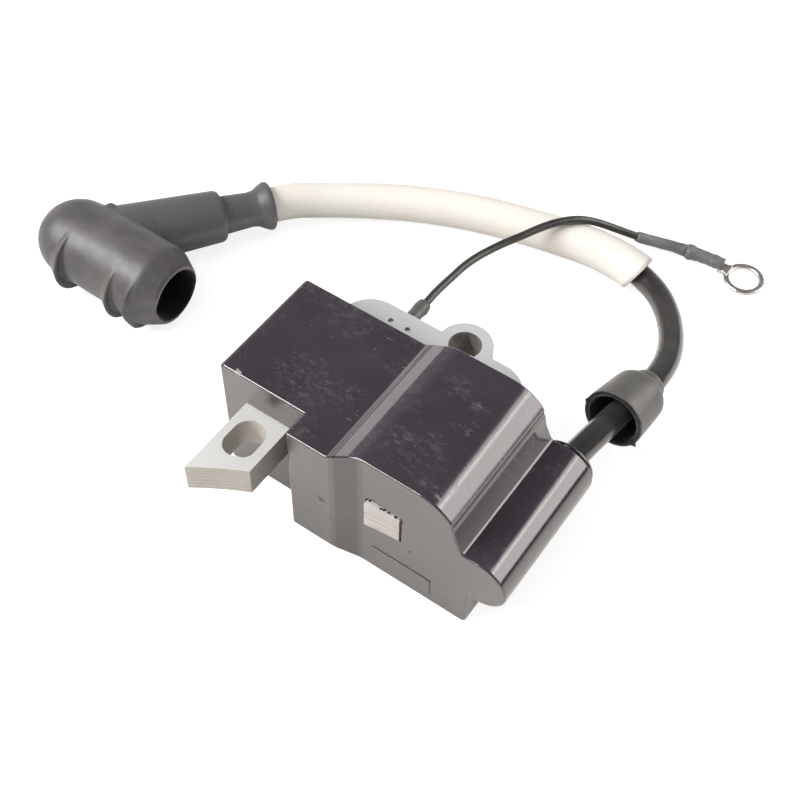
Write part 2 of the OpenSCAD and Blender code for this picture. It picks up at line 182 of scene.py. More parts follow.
def sweep(name, path, outer, inner=None, sides=32, flat=None):
    """Tube along path. outer and inner give the radius at (share of the length, angle).

    flat gives the scale of the height at a share of the length.
    """
    path = np.array(path, float)
    step = np.linalg.norm(np.diff(path, axis=0), axis=1)
    share = np.concatenate([[0], np.cumsum(step)]) / step.sum()
    tangent = np.gradient(path, axis=0)
    tangent /= np.linalg.norm(tangent, axis=1)[:, None]
    side = np.cross(tangent, [0, 0, 1])
    side /= np.linalg.norm(side, axis=1)[:, None]
    up = np.cross(side, tangent)
    angles = 2 * math.pi * np.arange(sides) / sides

    def rings(radius):
        r = np.array([[radius(s, t) for t in angles] for s in share])
        tall = np.array([1.0 if flat is None else flat(s) for s in share])[:, None]
        across = (r * np.cos(angles))[..., None] * side[:, None]
        above = (r * tall * np.sin(angles))[..., None] * up[:, None]
        return path[:, None] + across + above

    n = len(path)
    verts = rings(outer).reshape(-1, 3)
    quad = lambda a, b: [(a + k, a + (k + 1) % sides, b + (k + 1) % sides, b + k) for k in range(sides)]
    faces = [f for i in range(n - 1) for f in quad(i * sides, (i + 1) * sides)]
    if inner is None:
        faces += [tuple(range(sides))[::-1], tuple((n - 1) * sides + k for k in range(sides))]
    else:
        shift = n * sides
        verts = np.concatenate([verts, rings(inner).reshape(-1, 3)])
        faces += [f[::-1] for i in range(n - 1) for f in quad(shift + i * sides, shift + (i + 1) * sides)]
        faces += [f[::-1] for f in quad(0, shift)] + quad((n - 1) * sides, shift + (n - 1) * sides)
    obj = new_object(name, verts, faces)
    fix_normals(obj)
    return obj


def surface_net(name, field, low, high, pitch):
    """Closed mesh where the signed distance field(x, y, z), in millimetres, is zero."""
    axes = [np.arange(a, b + pitch, pitch) for a, b in zip(low, high)]
    x, y, z = np.meshgrid(*axes, indexing="ij")
    d = field(x, y, z)
    inside = d < 0
    total = np.zeros(tuple(s - 1 for s in d.shape) + (3,))
    count = np.zeros(tuple(s - 1 for s in d.shape))
    corner = [(0, 0), (0, 1), (1, 0), (1, 1)]
    for axis in range(3):
        others = [k for k in range(3) if k != axis]
        for i, j in corner:
            lo, hi = [None] * 3, [None] * 3
            lo[axis], hi[axis] = slice(None, -1), slice(1, None)
            for o, v in zip(others, (i, j)):
                lo[o] = hi[o] = slice(v, d.shape[o] - 1 + v)
            a, b = d[tuple(lo)], d[tuple(hi)]
            cut = (a < 0) != (b < 0)
            t = np.where(cut, a / np.where(cut, a - b, 1), 0)
            for k in range(3):
                start = 0.0 if k == axis else (i, j)[others.index(k)]
                total[..., k] += np.where(cut, start + (t if k == axis else 0), 0)
            count += cut
    used = count > 0
    index = np.full(used.shape, -1)
    index[used] = np.arange(used.sum())
    cells = np.argwhere(used)
    verts = (cells + total[used] / count[used][:, None]) * pitch + np.array(low)
    faces = []
    for axis in range(3):
        u, v = [k for k in range(3) if k != axis]
        core = [slice(1, -1)] * 3
        core[axis] = slice(None, -1)
        nxt = list(core)
        nxt[axis] = slice(1, None)
        a, b = inside[tuple(core)], inside[tuple(nxt)]
        where = np.argwhere(a != b)
        start = where.copy()
        start[:, u] += 1
        start[:, v] += 1
        flip = a[tuple(where.T)] == (axis == 1)
        quad = []
        for du, dv in ((1, 1), (0, 1), (0, 0), (1, 0)):
            c = start.copy()
            c[:, u] -= du
            c[:, v] -= dv
            quad.append(index[tuple(c.T)])
        quad = np.stack(quad, 1)
        quad[flip] = quad[flip][:, ::-1]
        faces.append(quad)
    obj = new_object(name, verts, np.concatenate(faces).tolist())
    fix_normals(obj)
    return obj


# ------------------------------------------------------------------ materials
def material(name, build):
    """Node material: build(nodes) sets it up."""
    mat = bpy.data.materials.new(name)
    mat.use_nodes = True
    build(Nodes(mat.node_tree))
    return mat


class Nodes:
    """Short calls for the nodes that the materials share."""

    def __init__(self, tree):
        self.tree = tree
        self.object = tree.nodes.new("ShaderNodeTexCoord").outputs["Object"]

    def add(self, kind, **inputs):
        return self.fill(self.tree.nodes.new(kind), inputs)

    def fill(self, node, inputs):
        for key, value in inputs.items():
            self.put(node.inputs[key.replace("_", " ")], value)
        return node

    def surface(self, **inputs):
        """Inputs of the material's shader. Plain values are set on their sockets."""
        self.fill(self.tree.nodes["Principled BSDF"], inputs)

    def put(self, socket, value):
        if isinstance(value, bpy.types.NodeSocket):
            self.tree.links.new(value, socket)
        else:
            socket.default_value = value

    def stretched(self, scale, turn=(0, 0, 0)):
        """Object coordinates in millimetres, stretched by one scale or by one for each axis."""
        scale = scale if isinstance(scale, tuple) else (scale,) * 3
        node = self.add("ShaderNodeMapping", Vector=self.object)
        node.inputs["Scale"].default_value = [s / MM for s in scale]
        node.inputs["Rotation"].default_value = [math.radians(t) for t in turn]
        return node.outputs[0]

    def noise(self, scale, detail=4, rough=0.55, turn=(0, 0, 0)):
        """Noise whose features are about 1/scale millimetres across."""
        place = self.stretched(scale, turn)
        node = self.add("ShaderNodeTexNoise", Vector=place, Scale=1.0, Detail=detail, Roughness=rough)
        return node.outputs["Fac"]

    def specks(self, scale, size, share):
        """Round specks: 1 at a speck, in a share of the cells of 1/scale millimetres."""
        cell = self.add("ShaderNodeTexVoronoi", Vector=self.stretched(scale), Scale=1.0)
        near = self.ramp(cell.outputs["Distance"], size * 0.6, size, 1, 0)
        chosen = self.add("ShaderNodeSeparateColor", Color=cell.outputs["Color"])
        some = self.ramp(chosen.outputs["Red"], 1 - share, 1 - share + 0.01, 0, 1)
        return self.times(near, some)

    def ramp(self, value, low, high, at_low=0.0, at_high=1.0):
        """Straight from at_low to at_high while value goes from low to high."""
        node = self.tree.nodes.new("ShaderNodeMapRange")
        for i, v in enumerate((value, low, high, at_low, at_high)):
            self.put(node.inputs[i], v)
        return node.outputs[0]

    def maths(self, operation, a, b=0.0):
        node = self.tree.nodes.new("ShaderNodeMath")
        node.operation = operation
        self.put(node.inputs[0], a)
        self.put(node.inputs[1], b)
        return node.outputs[0]

    def times(self, value, *others):
        """Product of the values."""
        for other in others:
            value = self.maths("MULTIPLY", value, other)
        return value

    def largest(self, value, *others):
        for other in others:
            value = self.maths("MAXIMUM", value, other)
        return value

    def mix(self, share, a, b):
        node = self.tree.nodes.new("ShaderNodeMix")
        node.data_type = "RGBA"
        self.put(node.inputs[0], share)
        for socket, value in zip((node.inputs[6], node.inputs[7]), (a, b)):
            self.put(socket, (*value, 1) if isinstance(value, tuple) else value)
        return node.outputs[2]

    def bump(self, height, distance_mm, under=None):
        node = self.add("ShaderNodeBump", Height=height, Distance=distance_mm * MM, Strength=1.0)
        if under is not None:
            self.put(node.inputs["Normal"], under)
        return node.outputs[0]

    def part(self, axis):
        """One object coordinate, in millimetres."""
        split = self.add("ShaderNodeSeparateXYZ", Vector=self.object)
        return self.times(split.outputs["XYZ".index(axis)], 1 / MM)


DUST = (0.55, 0.52, 0.48)


def plain_set(name, tint, other, rough, grain, bump_mm, metallic=0.0, scale=2, specks=0.0):
    """Surface with blotches of a second tint, uneven roughness and fine grain."""

    def build(n):
        blotch = n.ramp(n.noise(scale, 5), 0.35, 0.65)
        colour = n.mix(blotch, tint, other)
        if specks:
            colour = n.mix(n.times(n.specks(2.2, 0.22, 0.4), specks), colour, DUST)
        n.surface(Base_Color=colour, Roughness=n.ramp(n.noise(0.8, 3), 0.3, 0.7, *rough))
        n.surface(Normal=n.bump(n.noise(grain, 3), bump_mm), Metallic=metallic)

    return material(name, build)


def case_material(name, gloss, specular=0.85):
    """Moulded plastic, polished or a little eroded, with dust, haze and short scratches."""

    def build(n):
        x, z = n.part("X"), n.part("Z")
        specks = n.times(n.specks(0.9, 0.12, 0.1), 0.8)
        fine = n.times(n.specks(2.6, 0.2, 0.3), n.ramp(n.noise(0.11, 3), 0.5, 0.64))
        shoulder = n.times(n.ramp(x, 9.0, 15.0), n.ramp(x, 17.0, 19.5, 1, 0), n.ramp(z, 29.0, 31.0))
        smear = n.ramp(n.noise((0.5, 0.9, 0.5), 7, 0.75), 0.5, 0.72)
        patch = n.ramp(n.noise((0.1, 0.13, 0.1), 2), 0.46, 0.6)
        haze = n.times(smear, patch, n.ramp(shoulder, 0, 1, 0.45, 1.3), 0.85)
        scratch = n.ramp(n.noise((0.22, 2.6, 0.6), 2, 0.5, (0, 0, 38)), 0.7, 0.72)
        scratch = n.times(scratch, n.ramp(n.noise(0.3, 2), 0.56, 0.64), 0.6)
        from_chip = n.add("ShaderNodeVectorMath", Vector=n.object)
        from_chip.operation = "DISTANCE"
        from_chip.inputs[1].default_value = [v * MM for v in CHIP]
        ragged_edge = n.ramp(n.noise(1.5, 3), 0.3, 0.7, -0.5, 0.5)
        reach = n.maths("ADD", n.times(from_chip.outputs["Value"], 1 / MM), ragged_edge)
        wear = n.largest(specks, fine, haze, scratch, n.ramp(reach, 0.35, 0.75, 1.6, 0))
        tint = n.mix(n.ramp(n.noise(0.08, 2), 0.4, 0.6), *(CASE_TOP if gloss else CASE_WALL))
        shown = n.times(wear, 0.5 if gloss else 0.12)
        n.surface(Base_Color=n.mix(shown, tint, (0.42, 0.39, 0.4)))
        if gloss:
            n.surface(Roughness=n.ramp(wear, 0, 0.7, 0.13, 0.5))
            wave = n.bump(n.noise(0.12, 2), 0.03)
            n.surface(Normal=n.bump(n.noise(1.4, 3), 0.006, wave))
        else:
            n.surface(Roughness=n.ramp(n.noise(0.35, 4), 0.3, 0.7, 0.2, 0.28))
            wave = n.bump(n.noise(0.3, 3), 0.02)
            n.surface(Normal=n.bump(n.noise(6, 2), 0.008, wave))
        n.surface(Specular_IOR_Level=specular)

    return material(name, build)


def steel_material(name, shade_bores):
    """Pale plated steel: rolling lines, soft stains, faint edges of the sheets and warmer cut sides, with
    painted shade that makes it darker and bluer towards the back; the second variant adds near-black painted
    shade in blotches for the bores.
    """

    def build(n):
        sheet = n.maths("FRACT", n.times(n.maths("SUBTRACT", n.part("Z"), CORE_LOW), 1 / SHEET_T))
        seam = n.largest(n.ramp(sheet, 0.0, 0.1, 1, 0), n.ramp(sheet, 0.9, 1.0, 0, 1))
        geometry = n.tree.nodes.new("ShaderNodeNewGeometry")
        normal = n.add("ShaderNodeSeparateXYZ", Vector=geometry.outputs["Normal"])
        side = n.ramp(n.maths("ABSOLUTE", normal.outputs["Z"]), 0.3, 0.6, 1, 0)
        seam = n.times(seam, side, n.ramp(n.noise((0.5, 0.5, 3), 3), 0.4, 0.7), 0.16)
        stain = n.ramp(n.noise((0.25, 0.25, 0.8), 5, 0.65), 0.5, 0.75)
        # Painted shade: the steel turns darker and a little bluer towards the back, from Y = -12 to 13 mm
        back = n.ramp(n.part("Y"), -12.0, 13.0)
        face = n.mix(back, (0.74, 0.73, 0.705), (0.62, 0.625, 0.63))
        colour = n.mix(n.times(stain, 0.2), face, (0.55, 0.53, 0.5))
        warm = n.ramp(n.noise((0.2, 0.2, 1.6), 4), 0.3, 0.7)
        colour = n.mix(side, colour, n.mix(warm, (0.48, 0.45, 0.41), (0.41, 0.38, 0.34)))
        colour = n.mix(seam, colour, (0.24, 0.21, 0.18))
        # Painted shade: blotches of near-black on the walls of the lug hole and the dimples, where they lie
        # in shade
        if shade_bores:
            bore_painted_shade = n.ramp(n.noise((0.9, 0.9, 0.5), 4), 0.35, 0.65, 0.6, 0.9)
            colour = n.mix(bore_painted_shade, colour, (0.1, 0.085, 0.075))
        n.surface(Base_Color=colour, Roughness=n.ramp(n.noise((0.5, 6, 2), 4), 0.3, 0.7, 0.42, 0.58))
        n.surface(Normal=n.bump(n.noise((0.6, 9, 9), 3), 0.008), Metallic=0.3)

    return material(name, build)


def rubber_material(name, tint, other, rough, dust=0.25, specular=0.45, arm=None, grain=0.012):
    """Moulded rubber: soft sheen, faint flow marks, bloom and a little dust. arm: the tint far along Y."""

    def build(n):
        bloom = n.ramp(n.noise((0.12, 0.2, 0.2), 5, 0.6), 0.35, 0.7)
        colour = n.mix(bloom, tint, other)
        if arm:
            past = n.maths("ADD", n.part("Y"), n.ramp(bloom, 0, 1, 0, 3))
            colour = n.mix(n.ramp(past, 15.0, 19.0), colour, arm)
        colour = n.mix(n.times(n.specks(1.1, 0.13, 0.2), dust), colour, (0.6, 0.57, 0.54))
        n.surface(Base_Color=colour, Roughness=n.ramp(n.noise(0.4, 4), 0.3, 0.7, *rough))
        coarse = n.bump(n.noise(0.5, 4), 0.03)
        n.surface(Normal=n.bump(n.noise(5, 3), grain, coarse), Sheen_Weight=0.15, Sheen_Roughness=0.5)
        n.surface(Specular_IOR_Level=specular)

    return material(name, build)


def sleeve_material():
    """Cream silicone sleeve: warm stains, specks and a soft glow."""

    def build(n):
        stain = n.ramp(n.noise(0.1, 5, 0.6), 0.45, 0.75)
        colour = n.mix(n.times(stain, 0.5), (0.95, 0.89, 0.815), (0.88, 0.795, 0.705))
        specks = n.times(n.specks(0.9, 0.1, 0.12), 0.3)
        n.surface(Base_Color=n.mix(specks, colour, (0.5, 0.42, 0.36)))
        n.surface(Roughness=n.ramp(n.noise(0.6, 3), 0.3, 0.7, 0.42, 0.6))
        n.surface(Normal=n.bump(n.noise(1.2, 4), 0.03), Subsurface_Weight=0.25)
        n.surface(Subsurface_Radius=(0.8, 0.6, 0.45), Subsurface_Scale=1.2 * MM)

    return material("heat_sleeve", build)


def winding_material():
    """Enamelled wire: 0.3 mm turns side by side along Y, with painted shade in the grooves between them."""

    def build(n):
        turn = n.ramp(n.maths("SINE", n.times(n.part("Y"), 2 * math.pi / 0.3)), -1, 1)
        tint = n.mix(n.ramp(n.noise(0.6, 3), 0.35, 0.65), (0.5, 0.2, 0.07), (0.62, 0.29, 0.1))
        # Painted shade: the colour turns dark in the grooves between the turns
        n.surface(Base_Color=n.mix(n.ramp(turn, 0, 0.5, 0.6, 0), tint, (0.12, 0.04, 0.02)))
        n.surface(Roughness=n.ramp(n.noise(1, 2), 0.3, 0.7, 0.22, 0.38), Normal=n.bump(turn, 0.08))
        n.surface(Metallic=0.7)

    return material("copper_winding", build)


# Lowest sheet, thickness and number of the sheets; the chip on the case's edge; tints of the case
CORE_LOW, SHEET_T, SHEETS = 14.1, 0.5, 13
CHIP = (-27.4, -10.9, 27.9)
CASE_TOP = (0.05, 0.038, 0.05), (0.042, 0.033, 0.042)
CASE_WALL = (0.043, 0.036, 0.034), (0.036, 0.031, 0.03)
gloss = case_material("case_polished", True)
matt = case_material("case_wall", False)
half_strip = case_material("case_strip_edge", False, 0.68)
strip = case_material("case_strip", False, 0.52)
steel = steel_material("core_steel", False)
# Steel with painted shade, for the walls of the lug hole and the dimples
shaded_bore_steel = steel_material("core_bore_painted_shade", True)
boot_rubber = rubber_material(
    "boot_rubber", (0.071, 0.067, 0.067), (0.124, 0.113, 0.108), (0.38, 0.48), 0.3, 0.65, (0.104, 0.1, 0.104)
)
# Near-black rubber: painted shade for the inner faces of the boot's bores
bore_rubber_painted_shade = rubber_material(
    "bore_rubber_painted_shade", (0.008, 0.008, 0.009), (0.013, 0.012, 0.013), (0.5, 0.65), 0.05, 0.2
)
cup_rubber = rubber_material("cup_rubber", (0.085, 0.08, 0.074), (0.12, 0.114, 0.105), (0.38, 0.5))
# Near-black rubber on the cup's rim face and its inward faces: painted shade inside the cup
cup_rim_and_inside_shade = rubber_material("cup_rim_and_inside_shade", (0.012, 0.011, 0.012), (0.024, 0.022, 0.022), (0.25, 0.4), 0.1, 0.35)
lead_jacket = rubber_material(
    "lead_jacket", (0.027, 0.0245, 0.0235), (0.044, 0.039, 0.037), (0.17, 0.27), 0.06, 0.5, grain=0.003
)
grommet_rubber = rubber_material(
    "grommet_rubber", (0.016, 0.015, 0.016), (0.028, 0.026, 0.026), (0.1, 0.18), 0.06, 0.8, grain=0.003
)
wire_jacket = rubber_material("wire_jacket", (0.02, 0.019, 0.016), (0.035, 0.033, 0.029), (0.25, 0.4), 0.12)
shrink = rubber_material("shrink_tube", (0.11, 0.11, 0.108), (0.2, 0.198, 0.195), (0.45, 0.6), 0.5)
exit_tube = rubber_material("exit_tube", (0.07, 0.07, 0.064), (0.12, 0.12, 0.108), (0.35, 0.5), 0.3)
cream = sleeve_material()
tin = plain_set("tin_plate", (0.5, 0.49, 0.475), (0.36, 0.34, 0.32), (0.22, 0.4), 6, 0.012, 0.85)
resin = plain_set(
    "potting_resin", (0.03, 0.022, 0.018), (0.055, 0.042, 0.034), (0.12, 0.3), 0.35, 0.12, specks=0.25
)
nylon = plain_set("bobbin_nylon", (0.72, 0.67, 0.55), (0.6, 0.54, 0.42), (0.35, 0.5), 4, 0.01)
copper = plain_set("copper_wire", (0.72, 0.33, 0.16), (0.5, 0.22, 0.1), (0.22, 0.4), 5, 0.01, 0.95)
brass = plain_set("brass", (0.66, 0.5, 0.24), (0.5, 0.37, 0.17), (0.25, 0.42), 5, 0.01, 0.95)
spring_steel = plain_set("spring_steel", (0.5, 0.49, 0.48), (0.34, 0.33, 0.32), (0.25, 0.4), 6, 0.008, 0.95)
laminate = plain_set(
    "board_laminate", (0.05, 0.16, 0.06), (0.035, 0.11, 0.045), (0.3, 0.45), 2.5, 0.02, scale=0.5
)
film = plain_set("capacitor_dip", (0.34, 0.07, 0.04), (0.24, 0.045, 0.028), (0.16, 0.3), 0.6, 0.12, scale=0.5)
epoxy = plain_set("component_epoxy", (0.02, 0.02, 0.021), (0.034, 0.033, 0.032), (0.4, 0.6), 6, 0.015)
lacquer = plain_set("resistor_lacquer", (0.6, 0.42, 0.22), (0.5, 0.33, 0.16), (0.25, 0.4), 3, 0.02)

winding = winding_material()
CAD_LOOKS = {
    "potting_seal": resin,
    "primary_bobbin": nylon,
    "secondary_bobbin": nylon,
    "charge_bobbin": nylon,
    "primary_winding": winding,
    "secondary_winding": winding,
    "charge_winding": winding,
    "control_board": laminate,
    "storage_capacitor": film,
    "scr_switch": epoxy,
    "diodes": epoxy,
    "resistors": lacquer,
    "board_pins": tin,
    "ht_link_wire": copper,
    "ht_contact_pin": brass,
    "lead_conductor": copper,
    "plug_contact": brass,
    "plug_spring": spring_steel,
}
for node, look in CAD_LOOKS.items():
    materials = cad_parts[node].data.materials
    materials.clear()
    materials.append(look)


def finish_piece(obj, looks, body, slot, *replaced):
    """Gives a new piece its material or materials and its body, and hides the CAD parts it replaces. slot is
    not used.
    """
    obj.data.materials.clear()
    for look in looks if isinstance(looks, list) else [looks]:
        obj.data.materials.append(look)
    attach(obj, body)
    if replaced:
        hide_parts(*replaced)
    return obj


# ------------------------------------------------------------------ camera
SENSOR_WIDTH = 36


def aim_camera(look_at, azimuth, elevation, roll, distance, lens):
    """Camera on its sphere round look_at, with a roll about its own axis. Degrees and millimetres."""
    a, e, r = (math.radians(v) for v in (azimuth, elevation, roll))
    back = Vector((math.sin(a) * math.cos(e), -math.cos(a) * math.cos(e), math.sin(e)))
    right = Vector((math.cos(a), math.sin(a), 0))
    up = back.cross(right)
    x = right * math.cos(r) + up * math.sin(r)
    y = -right * math.sin(r) + up * math.cos(r)
    data = bpy.data.cameras.new("camera")
    data.lens, data.sensor_width = lens, SENSOR_WIDTH
    data.clip_start, data.clip_end = 0.01, 20
    camera = bpy.data.objects.new("camera", data)
    collection.objects.link(camera)
    turn = Matrix((x, y, back)).transposed().to_4x4()
    camera.matrix_world = Matrix.Translation((Vector(look_at) + back * distance) * MM) @ turn
    bpy.context.scene.camera = camera


aim_camera((-12.82, 18.27, 0), 33.49, 52.91, 1.75, 257.66, 58.635)

# ------------------------------------------------------------------ cords
LEAD_ROUTE = [
    (0.0255, -0.004, 0.0154), (0.0255, 0.008, 0.0154), (0.0256, 0.014, 0.0153), (0.026, 0.02, 0.0144),
    (0.0269, 0.03, 0.0128), (0.0278, 0.04, 0.0112), (0.0282, 0.044, 0.0106), (0.0278, 0.0495, 0.0094),
    (0.0264, 0.0548, 0.0081), (0.024, 0.06, 0.0068), (0.0205, 0.065, 0.0058), (0.016, 0.0692, 0.0049),
    (0.0105, 0.072, 0.0043), (0.005, 0.0732, 0.004), (-0.0015, 0.0732, 0.004), (-0.008, 0.0721, 0.004),
    (-0.016, 0.0703, 0.004), (-0.024, 0.0682, 0.004), (-0.032, 0.0652, 0.004), (-0.04, 0.0614, 0.004),
    (-0.0475, 0.0567, 0.0042), (-0.0545, 0.0512, 0.0048), (-0.06, 0.0455, 0.0059), (-0.063, 0.0406, 0.0066),
    (-0.0684, 0.0322, 0.0074), (-0.0727, 0.0255, 0.008),
]
# Points of the lead's route that the heat sleeve covers, and its end inside the boot's lip
SLEEVE_FIRST, SLEEVE_LAST, SLEEVE_END = 12, 22, (-0.0633, 0.0401, 0.0066)
WIRE_ROUTE = [
    (-0.0183, 0.01, 0.01), (-0.0183, 0.022, 0.01), (-0.0183, 0.0345, 0.01), (-0.0184, 0.039, 0.0098),
    (-0.0183, 0.044, 0.0093), (-0.018, 0.0485, 0.0091), (-0.0172, 0.0525, 0.009), (-0.016, 0.056, 0.009),
    (-0.0146, 0.0592, 0.0091), (-0.0128, 0.0626, 0.0093), (-0.011, 0.0663, 0.0095), (-0.0088, 0.0701, 0.0095),
    (-0.006, 0.0738, 0.009), (-0.003, 0.0768, 0.0076), (0.0008, 0.0794, 0.0057), (0.005, 0.0816, 0.0041),
    (0.0083, 0.0834, 0.0031), (0.0115, 0.0849, 0.0025), (0.015, 0.086, 0.0021), (0.019, 0.0869, 0.0018),
    (0.0234, 0.0874, 0.0017),
]
# Points of the wire's route where its shrink sleeve and the terminal's sleeve start
SHRINK_FIRST, SHRINK_JOINT = 15, 18
LEAD_D, WIRE_D, WIRE_HOLE = 5.0, 1.7, (-18.3, 10)
# The heat sleeve's cut runs along this direction over its first rings
SLEEVE_CUT, CUT_RINGS, SLEEVE_SIDES = Vector((0.333, -0.503, 0.798)), 5, 48
KNOB_STEPS = 14


def wobble(amount, waves, seed):
    """Uneven radius: a few sine waves round and along a tube."""
    draw = np.random.default_rng(seed)
    terms = []
    for _ in range(6):
        along, around = draw.uniform(2, waves), int(draw.integers(1, 4))
        terms.append((along, around, draw.uniform(0, 6.28), draw.uniform(0.3, 1)))
    return lambda s, t: amount * sum(k * math.sin(6.28 * f * s + m * t + p) for f, m, p, k in terms) / 3


def route_mm(points):
    """Route in millimetres."""
    return np.array(points) / MM


lead_path = smooth_route(route_mm(LEAD_ROUTE))
lead_skin = wobble(0.02, 9, 1)
lead = sweep("ht_lead_jacket", lead_path, lambda s, t: LEAD_D / 2 + lead_skin(s, t), sides=36)
finish_piece(lead, lead_jacket, "coil", "lead", "ht_lead")

sleeve_route = route_mm(LEAD_ROUTE[: SLEEVE_LAST + 1] + [SLEEVE_END])
sleeve_path = smooth_route(sleeve_route)[SLEEVE_FIRST * SPAN_STEPS :]
sleeve_skin = wobble(0.05, 7, 2)


def sleeve_outer(s, t):
    """Slightly wider towards its free end, and softly crushed."""
    lip = 0.05 * max(0.0, 1 - min(s, 1 - s) / 0.002)
    return 4.2 - 0.45 * s + sleeve_skin(s, t) + 0.06 * math.cos(2 * t) - lip


def slant_cut(tube, path, along_cut, rings, sides):
    """Slopes the tube's first end so that its cut plane runs along along_cut."""
    axis = Vector(path[1] - path[0]).normalized()
    normal = (axis - axis.dot(along_cut) * along_cut).normalized()
    for i in range(rings):
        for k in range(sides):
            for index in (i * sides + k, (len(path) + i) * sides + k):
                vertex = tube.data.vertices[index]
                off = vertex.co / MM - Vector(path[i])
                vertex.co -= axis * (off.dot(normal) / axis.dot(normal) * (1 - i / rings) * MM)


def bore(diameter, gap):
    """Inner radius of a sleeve on a cord."""
    return lambda s, t: diameter / 2 + gap


sleeve = sweep("heat_sleeve_tube", sleeve_path, sleeve_outer, bore(LEAD_D, 0.35), SLEEVE_SIDES)
slant_cut(sleeve, sleeve_path, SLEEVE_CUT, CUT_RINGS, SLEEVE_SIDES)
finish_piece(sleeve, cream, "coil", "heat_sleeve", "heat_sleeve")

wire_path = smooth_route(route_mm(WIRE_ROUTE))
wire_skin = wobble(0.015, 12, 3)
wire = sweep("earth_wire_jacket", wire_path, lambda s, t: WIRE_D / 2 + wire_skin(s, t), sides=20)
finish_piece(wire, wire_jacket, "coil", "wire", "earth_wire")

exit_path = np.array([(WIRE_HOLE[0], y, WIRE_HOLE[1]) for y in np.linspace(11.95, 34.5, 46)])
exit_skin = wobble(0.04, 14, 4)


def exit_outer(s, t):
    """Oval towards the free end, with a collar just before it."""
    collar = 0.16 * math.exp(-(((s - 0.93) / 0.03) ** 2))
    lip = 0.1 * max(0.0, 1 - min(s, 1 - s) / 0.01)
    return 1.42 + exit_skin(s, t) + collar + 0.08 * math.cos(2 * t) * s - lip


exit_sleeve = sweep("wire_exit_tube", exit_path, exit_outer, bore(WIRE_D, 0.08), sides=24)
finish_piece(exit_sleeve, exit_tube, "coil", "shrink", "wire_exit_sleeve")

shrink_skin = wobble(0.05, 9, 5)


def shrink_outer(s, t):
    """Swells where the terminal's sleeve starts."""
    lip = 0.1 * max(0.0, 1 - s / 0.03)
    swell = 0.16 * math.exp(-(((s - 0.96) / 0.1) ** 2))
    return 1.2 + shrink_skin(s, t) + swell - lip


shrink_path = wire_path[SHRINK_FIRST * SPAN_STEPS : SHRINK_JOINT * SPAN_STEPS + 1]
wire_shrink = sweep("wire_shrink_tube", shrink_path, shrink_outer, bore(WIRE_D, 0.06), sides=24)
finish_piece(wire_shrink, shrink, "coil", "shrink", "wire_shrink_sleeve")

knob_skin = wobble(0.09, 6, 6)


def knob_outer(s, t):
    """Lumpy where it covers the crimp's edges."""
    start = 0.28 * math.exp(-(((s - 0.12) / 0.09) ** 2))
    lip = 0.2 * max(0.0, 1 - s / 0.03)
    end = 0.12 * math.exp(-(((s - 0.78) / 0.1) ** 2))
    return 1.5 + start + end + knob_skin(s, t) - lip - 0.12 * s


terminal_path = smooth_route(route_mm(WIRE_ROUTE), KNOB_STEPS)[SHRINK_JOINT * KNOB_STEPS :]
flatter = lambda s: 1 - 0.12 * s
terminal_shrink = sweep("terminal_shrink_tube", terminal_path, knob_outer, bore(WIRE_D, 0.06), 28, flatter)
finish_piece(terminal_shrink, shrink, "coil", "shrink", "terminal_shrink_sleeve")

# Ring terminal: a ring with rolled edges, its neck and the start of the crimp
RING_AT, RING_R, RING_HOLE_R, RING_T = (28.5, 87.4), 4.3, 3.2, 0.8
edge = 0.16
rim = [(RING_HOLE_R + edge, 0.0), (RING_R - edge, 0.0), (RING_R, edge), (RING_R, RING_T - edge)]
rim += [(RING_R - edge, RING_T), (RING_HOLE_R + edge, RING_T)]
rim += [(RING_HOLE_R, RING_T - edge), (RING_HOLE_R, edge)]
ring = lathe("ring_terminal_tin", rim, (*RING_AT, 0), (0, 0, 1), 96, closed=True)
neck = [(22.6, 86.3), (24.2, 86.2), (25.1, 85.6), (25.2, 87.4), (25.1, 89.2), (24.2, 88.6), (22.6, 88.5)]
boolean(ring, bevelled(prism("neck", neck, 0.02, 1.15, "Z"), 0.14), "UNION")
weighted(ring, 40)
finish_piece(ring, tin, "coil", "terminal", "ring_terminal")

# ------------------------------------------------------------------ case
LOW_TOP, HIGH_TOP, CASE_BACK, CASE_FRONT = 28.0, 31.5, 13.5, -15.3
PROUD_FRONT, LOW_FRONT, CASE_LEFT, CASE_RIGHT = -16.3, -11.1, -31.3, 24.3
TOWER, TOWER_R, SHOULDER, SHOULDER_R = (25.5, 15.4), 5.8, (13.1, 22.9), 8.6
STEP_X = -12.8
CORE_HIGH = CORE_LOW + SHEETS * SHEET_T

case_view = [(CASE_LEFT, 0.0), (CASE_RIGHT - 0.5, 0.0), (CASE_RIGHT, 0.5)]
case_view += arc(TOWER, TOWER_R, -102, 90, 28)
case_view += arc((22.95, 22.1), 0.9, 270, 205, 5)
case_view += [(21.0, 24.1)] + arc((18.0, 25.45), 2.6, 12, 35, 4) + arc(SHOULDER, SHOULDER_R, 36, 90, 20)
case_view += arc((3.2, HIGH_TOP - 7.5), 7.5, 90, 121, 9) + [(-3.3, 28.84), (-4.2, 28.13)]
case_view += [(-4.7, LOW_TOP), (CASE_LEFT + 1.0, LOW_TOP)]
case_view += arc((CASE_LEFT + 1.0, LOW_TOP - 1.0), 1.0, 98, 180, 6)
case_plan = [
    (CASE_LEFT, LOW_FRONT), (STEP_X, LOW_FRONT), (STEP_X, PROUD_FRONT), (-4.0, PROUD_FRONT),
    (-2.9, PROUD_FRONT + 0.09), (-1.9, PROUD_FRONT + 0.3), (0.4, CASE_FRONT - 0.28), (1.4, CASE_FRONT - 0.08),
    (2.5, CASE_FRONT), (40, CASE_FRONT), (40, CASE_BACK), (CASE_LEFT, CASE_BACK),
]
case = prism("case_mould", case_view, -30, 30, "Y")
boolean(case, prism("plan", case_plan, -1, 40, "Z"), "INTERSECT")
bevelled(case, 0.42, 4, clamp=False)

